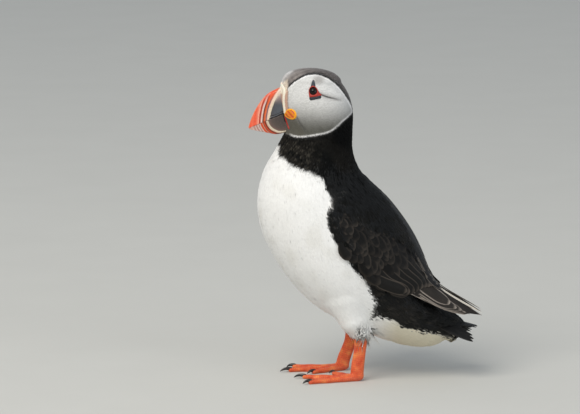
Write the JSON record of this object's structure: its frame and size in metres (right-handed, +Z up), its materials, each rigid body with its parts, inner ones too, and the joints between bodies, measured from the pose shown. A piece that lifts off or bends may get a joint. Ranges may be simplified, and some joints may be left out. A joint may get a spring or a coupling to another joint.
{
  "type": "museum figure of an atlantic puffin",
  "caption": "Life-size standing Atlantic puffin, wings folded, head in profile, with a deep banded bill, grey face, black back, white belly and orange webbed feet; a still display model.",
  "frame": {"origin": "on the floor, below the middle of the bird's bounding box", "axes": "+Z up, the bird faces -X, its left side is at -Y"},
  "size_m": [0.176, 0.0956, 0.2335],
  "materials": {
    "plumage_face": "pale grey face feathering, short, dense and matte, with a whiter rim",
    "plumage_black": "black feathering of collar, nape and tail, soft with a faint satin sheen",
    "plumage_white": "white breast and belly down, soft and matte",
    "plumage_wing": "brownish-black wing feathers with paler worn edges, satin",
    "bill_horn": "smooth grooved horn in slate, cream and orange-red bands, low gloss",
    "cere_skin": "pale yellow pitted skin along the base of the bill",
    "rosette_skin": "wrinkled orange-yellow skin at the corner of the mouth",
    "eye": "wet dark brown eye, clear and glossy",
    "eye_ring_skin": "red fleshy eyelid rim, slightly moist",
    "horn_plate": "blue-grey horny plates above and below the eye, satin",
    "leg_skin": "orange-red scaly leg and web skin, slightly waxy",
    "claw_horn": "black curved claws, smooth horn"
  },
  "bodies": {
    "root": {"head": "plumage_face", "neck": "plumage_black", "trunk": "plumage_white", "rump": "plumage_white", "tail": "plumage_black", "bill_upper": "bill_horn", "bill_lower": "bill_horn", "bill_cere": "cere_skin", "eye_left": "eye", "eye_right": "eye", "eye_ring_left": "eye_ring_skin", "eye_ring_right": "eye_ring_skin", "eye_plate_upper_left": "horn_plate", "eye_plate_upper_right": "horn_plate", "eye_plate_lower_left": "horn_plate", "eye_plate_lower_right": "horn_plate", "rosette_left": "rosette_skin", "rosette_right": "rosette_skin", "wing_left_arm": "plumage_wing", "wing_right_arm": "plumage_wing", "wing_left_primaries": "plumage_wing", "wing_right_primaries": "plumage_wing", "thigh_left": "plumage_white", "thigh_right": "plumage_white", "tarsus_left": "leg_skin", "tarsus_right": "leg_skin", "foot_left": "leg_skin", "foot_right": "leg_skin", "claw_outer_left": "claw_horn", "claw_middle_left": "claw_horn", "claw_inner_left": "claw_horn", "claw_outer_right": "claw_horn", "claw_middle_right": "claw_horn", "claw_inner_right": "claw_horn"}
  },
  "joints": []
}
